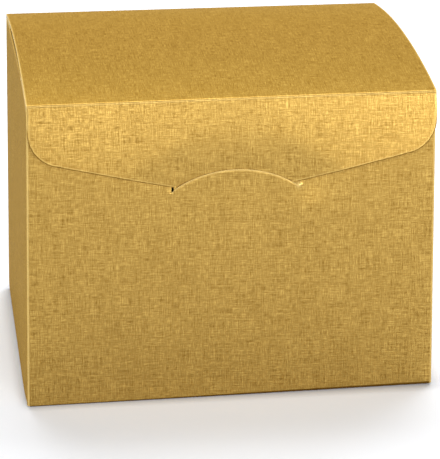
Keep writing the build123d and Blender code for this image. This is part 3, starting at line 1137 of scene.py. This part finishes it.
lidBackEnd = (0, backHingeY + beadRadius * math.sin(lidTilt), hingeZ + beadRadius * math.cos(lidTilt))
lidFrontEnd = (0, frontHingeY - beadRadius * math.sin(lidTilt), hingeZ + beadRadius * math.cos(lidTilt))
hinged(makeLidPanel(lidPanel, lidGrid), ("box", "lid"), (0, backFace, hingeZ), lidBackEnd,
       "lid_panel", "lid_back_crease")
print("lid made")


tuckFlap = {
    "stand": (1.5 * mm, 0.35 * mm, 2.0 * mm),   # how far it stands off the front panel: left, middle, right
    "standDepth": 23 * mm,                     # below the crease, where it stands off that much
    "standGone": 13 * mm,                      # distance from the arch over which it comes back to the panel
    "rightShift": 0.2 * mm,                    # its right end leans out sideways
    "shiftReach": 5 * mm,                      # below the crease, where that is full
    "creaseRadius": 0.85 * mm,                 # of the round at the lid's front edge
    "dip": 0.35 * mm,                          # behind its own face where it meets the arch
    "tongueDip": 0.5 * mm,                     # more, below the arch
    "dipReach": (1.6 * mm, 6.0 * mm),          # at the slit's ends, and at the top of the arch
    "dipFade": (-0.2 * mm, 0.8 * mm),          # inwards from the slit's ends
    "cutRound": (0.18 * mm, 0.35 * mm),        # the cutting rule presses the edge down: how far, how wide
    "crestAt": (1.5, 0.5),                     # rubbed crest with painted highlight beside it, in widths of the round
    "crestWearAndHighlight": 0.3,
    "endWearAndHighlight": 0.7,                            # of the upright ends, worn with painted highlight, while the lower edge's round has painted shade
    "brightFrom": 2 * mm,                      # above the round corners, where that is full
    # the crease's round is lighter: worn foil with painted highlight
    "creaseWearAndHighlight": 0.2,
    "edgeRows": [0, 0.12, 0.24, 0.36, 0.54, 0.72, 0.9, 1.2, 2],      # mm from the cut edge
    "rowCount": 56,
    "cornerColumns": 12,
    "columnStep": 1.5 * mm,
    "slitColumnStep": 0.5 * mm,
    "slitColumnReach": 4 * mm,
}
# the crease's round touches the lid's dome and the plane of the flap
creaseWidening = tuckFlap["creaseRadius"] - beadRadius
creaseMiddleY = frontHingeY + creaseWidening
creaseFoot = hingeZ - creaseWidening * (1 - math.sin(lidTilt)) / math.cos(lidTilt)
edgeSlope = (closure["slitDrop"] - closure["edgeAbove"] - closure["sideDepth"]) / (sideFace - slitHalf)
edgeAngle = math.atan(edgeSlope)
cornerZ = creaseTop - closure["sideDepth"]
roundX = sideFace - closure["cornerRadius"]
roundZ = cornerZ + closure["cornerRadius"] / math.tan(math.pi / 4 + edgeAngle / 2)
roundEndX = roundX + closure["cornerRadius"] * math.sin(edgeAngle)
tipMiddleZ = cornerZ - edgeSlope * sideFace + closure["tipRadius"] / math.cos(edgeAngle)
tipHalf = closure["tipRadius"] * math.sin(edgeAngle)


def flapLowEdge(x):
    x = abs(x)
    if x > roundEndX:
        return roundZ - math.sqrt(max(0.0, closure["cornerRadius"] ** 2 - (x - roundX) ** 2))
    if x < tipHalf:
        return tipMiddleZ - math.sqrt(closure["tipRadius"] ** 2 - x ** 2)
    return cornerZ - edgeSlope * (sideFace - x)


def flapEdgeDistance(x, z):
    x = abs(x)
    if x > roundX and z < roundZ:
        return closure["cornerRadius"] - math.hypot(x - roundX, z - roundZ)
    return min(sideFace - x, (z - flapLowEdge(x)) * math.cos(edgeAngle))


def flapDip(x, z, values):
    past = pastArch(x, z)
    endReach, topReach = values["dipReach"]
    across = acrossSlit(x)
    inSpan = max(0.0, 1 - (across / slitHalf) ** 2)
    reach = endReach + (topReach - endReach) * inSpan
    dip = values["dip"] * smooth(*values["dipFade"], slitHalf - abs(across))
    if past >= 0:
        return dip * max(0.0, 1 - past / reach) ** 2
    steep = 2 * values["dip"] / reach / values["tongueDip"]
    return dip + values["tongueDip"] * (1 - math.exp(past * steep))


def flapStand(x, z, values):
    left, middle, rightmost = values["stand"]
    side = rightmost if x > 0 else left
    peak = middle + (side - middle) * (abs(x) / sideFace) ** 1.5
    rise = max(0.0, creaseFoot - z) / values["standDepth"]
    return peak * rise * smooth(0.0, values["standGone"], pastArch(x, z))


def flapEdge(x, z, values):
    # depth of the round along the cut edge; wear with painted highlight on the crest beside it and on the
    # upright ends, and painted shade on the lower edge's round
    if pastArch(x, z) < 0 and abs(acrossSlit(x)) < slitHalf:
        return 0.0, 0.0
    away = flapEdgeDistance(x, z)
    deep, wide = values["cutRound"]
    turned = max(0.0, 1 - away / wide)
    crestMiddle, crestHalf = values["crestAt"]
    crest = values["crestWearAndHighlight"] * max(0.0, 1 - abs(away / wide - crestMiddle) / crestHalf)
    upright = smooth(0.0, values["brightFrom"], z - roundZ)        # its upright ends keep wear and painted highlight, while the lower edge's round gets painted shade
    return deep * turned ** 2, crest + turned * (values["endWearAndHighlight"] * upright - (1 - upright))


def makeTuckFlap(values):
    angles = spread(0.0, math.pi / 2 - edgeAngle, values["cornerColumns"])
    corner = [roundX + closure["cornerRadius"] * math.cos(a) for a in angles]
    fineHalf = slitHalf + values["slitColumnReach"]
    outer = spread(roundEndX, fineHalf, round((roundEndX - fineHalf) / values["columnStep"]))[1:-1]
    fine = spread(-fineHalf, fineHalf, round(2 * fineHalf / values["slitColumnStep"]))
    xs = [-x for x in corner + outer] + fine + list(reversed(corner + outer))
    nearEdge = [away * mm for away in values["edgeRows"]]
    flatLid = lidFlat + 2 * lidRadius * lidTilt
    rows = []
    for away in nearEdge:
        rows.append([(x, flapLowEdge(x) + away) for x in xs])
    for share in spread(0.0, 1.0, values["rowCount"])[1:]:
        row = []
        for x in xs:
            low = flapLowEdge(x) + nearEdge[-1]
            row.append((x, low + share * (creaseFoot - low)))
        rows.append(row)
    made = []
    for row in rows:
        line = []
        for x, z in row:
            stand = flapStand(x, z, values)
            cut, wear = flapEdge(x, z, values)
            y = flapFace + flapDip(x, z, values) + pinched(x, z) + cut - stand - bowed(x, z)
            lower = smooth(0.0, values["shiftReach"], hingeZ - z)
            shift = values["rightShift"] * max(0.0, x / sideFace) ** 2 * lower
            line.append(((x + shift, y, z), (backFlat - x, flatLid + hingeZ - z), wear))
        made.append(line)
    turn = math.pi / 2 - lidTilt
    flatUp = flatLid + hingeZ - creaseFoot
    for share in spread(0.0, 1.0, sheet["foldSteps"])[1:]:
        angle = math.pi / 2 - share * turn
        y = creaseMiddleY - values["creaseRadius"] * math.sin(angle)
        z = creaseFoot + values["creaseRadius"] * math.cos(angle)
        flat = flatUp - share * turn * values["creaseRadius"]
        rubbedAndHighlit = values["creaseWearAndHighlight"] * math.sin(math.pi * share)
        made.append([((x, y, z), (backFlat - x, flat), max(rubbedAndHighlit, edgeWear(sideFace - abs(x)))) for x in xs])
    lean = seam / lidRadius - lidTilt
    y = lidMiddleY + lidRadius * math.sin(lean)
    z = lidMiddleZ + lidRadius * math.cos(lean)
    flat = flatLid - turn * beadRadius - seam
    made.append([((x, y, z), (backFlat - x, flat), edgeWear(sideFace - abs(x))) for x in xs])
    return boardPiece("tuckFlap", made)


hinged(makeTuckFlap(tuckFlap), ("lid", "tuck_flap"), lidFrontEnd, (0, flapFace, hingeZ),
       "tuck_flap", "lid_front_crease")
print("tuck flap made")


# plain pale floor, which glows a little to the camera and in reflections, and is still shaded by the box
studio = {
    "floorSize": 6.0,
    "floorColour": srgb(229, 233, 240),
    "floorRoughness": 0.9,
    "glowColour": (1.0, 1.0, 1.0, 1.0),
    "floorGlow": 0.3,
    "glowFade": 5 * mm,           # none under the box, so that its contact shadow stays
    "farGlow": 0.75,              # more, far from the box, where the lamps no longer reach
    "farFrom": (0.5, 1.5),        # metres
    "worldColour": (1.0, 1.0, 1.0, 1.0),
    "worldStrength": 0.1,
    "backdropStrength": 1.0,      # as the camera and reflections see it
}


def seenDirectly(tree):
    path = addNode(tree, "ShaderNodeLightPath").outputs
    seen = calc(tree, "MAXIMUM", path["Is Camera Ray"], path["Is Glossy Ray"])
    return calc(tree, "MAXIMUM", seen, path["Is Transmission Ray"])


def makeFloor(values):
    bpy.ops.mesh.primitive_plane_add(size=values["floorSize"])
    floor = bpy.context.object
    floor.name = "studioFloor"
    material, tree, shader = startMaterial("studioFloor")
    shader.inputs["Base Color"].default_value = values["floorColour"]
    shader.inputs["Roughness"].default_value = values["floorRoughness"]
    shader.inputs["Emission Color"].default_value = values["glowColour"]
    spot = addNode(tree, "ShaderNodeTexCoord").outputs["Object"]
    x, y, _ = addNode(tree, "ShaderNodeSeparateXYZ", {0: spot}).outputs
    beside = []
    for place, half in ((x, sideFace), (y, backFace)):
        past = calc(tree, "SUBTRACT", calc(tree, "ABSOLUTE", place), half)
        beside.append(calc(tree, "MAXIMUM", past, 0.0))
    length = addNode(tree, "ShaderNodeVectorMath", {0: vectorOf(tree, *beside)}, operation="LENGTH")
    away = length.outputs["Value"]
    near = remap(tree, away, 0.0, values["glowFade"], 0.0, values["floorGlow"])
    far = remap(tree, away, *values["farFrom"], 0.0, values["farGlow"])
    glow = calc(tree, "ADD", near, far)
    tree.links.new(calc(tree, "MULTIPLY", seenDirectly(tree), glow), shader.inputs["Emission Strength"])
    floor.data.materials.append(material)


def makeWorld(values):
    world = bpy.data.worlds.new("studio")
    bpy.context.scene.world = world
    world.use_nodes = True
    tree = world.node_tree
    sky = tree.nodes["Background"]
    sky.inputs["Color"].default_value = values["worldColour"]
    strength = remap(tree, seenDirectly(tree), 0.0, 1.0, values["worldStrength"], values["backdropStrength"])
    tree.links.new(strength, sky.inputs["Strength"])


# places and sizes in metres, power in watts
softboxes = {
    "overheadBox": {"at": (0.12, 0.5, 1.0), "aim": (0.0, 0.0, 0.05), "size": (0.9, 0.6), "power": 12.3},
    "topFrontBox": {"at": (0.15, -0.85, 0.85), "aim": (0.0, -0.05, 0.06), "size": (0.3, 0.25), "power": 3.5},
    "frontBox": {"at": (0.5, -0.6, 0.08), "aim": (0.0, -0.05, 0.06), "size": (0.4, 0.15), "power": 2.2},
    "sideBox": {"at": (-1.1, -0.5, 0.25), "aim": (-0.05, 0.0, 0.06), "size": (0.4, 0.4), "power": 6.1},
    "frontCard": {"at": (0.36, -0.82, 0.004), "aim": (0.36, -0.82, 1.0), "size": (0.8, 0.6), "power": 14.0},
}


def makeLights(values):
    for name, box in values.items():
        light = bpy.data.lights.new(name, "AREA")
        light.shape = "RECTANGLE"
        light.size, light.size_y = box["size"]
        light.energy = box["power"]
        lamp = bpy.data.objects.new(name, light)
        bpy.context.collection.objects.link(lamp)
        lamp.visible_camera = False
        lamp.location = box["at"]
        lamp.rotation_euler = (Vector(box["aim"]) - Vector(box["at"])).to_track_quat("-Z", "Y").to_euler()


makeFloor(studio)
makeWorld(studio)
makeLights(softboxes)
print("floor and lights made")


cameraView = {
    "azimuth": -7.62,             # degrees, 0 looks straight at the front
    "elevation": 19.46,
    "distance": 0.888,
    "target": (2.83 * mm, 0.0, 34.98 * mm),
    "focalPixels": 2838,
    "frameHeight": 459,           # pixels
    "sensor": 36.0,
}


def makeCamera(values):
    camera = bpy.data.cameras.new("photoCamera")
    camera.sensor_width = values["sensor"]
    camera.sensor_fit = "AUTO"
    camera.lens = values["focalPixels"] * values["sensor"] / values["frameHeight"]
    stand = bpy.data.objects.new("photoCamera", camera)
    bpy.context.collection.objects.link(stand)
    azimuth = math.radians(values["azimuth"])
    elevation = math.radians(values["elevation"])
    away = Vector((math.sin(azimuth) * math.cos(elevation), -math.cos(azimuth) * math.cos(elevation),
                   math.sin(elevation)))
    stand.location = Vector(values["target"]) + away * values["distance"]
    stand.rotation_euler = (-away).to_track_quat("-Z", "Y").to_euler()
    bpy.context.scene.camera = stand


makeCamera(cameraView)
bpy.context.scene.view_settings.view_transform = "Standard"
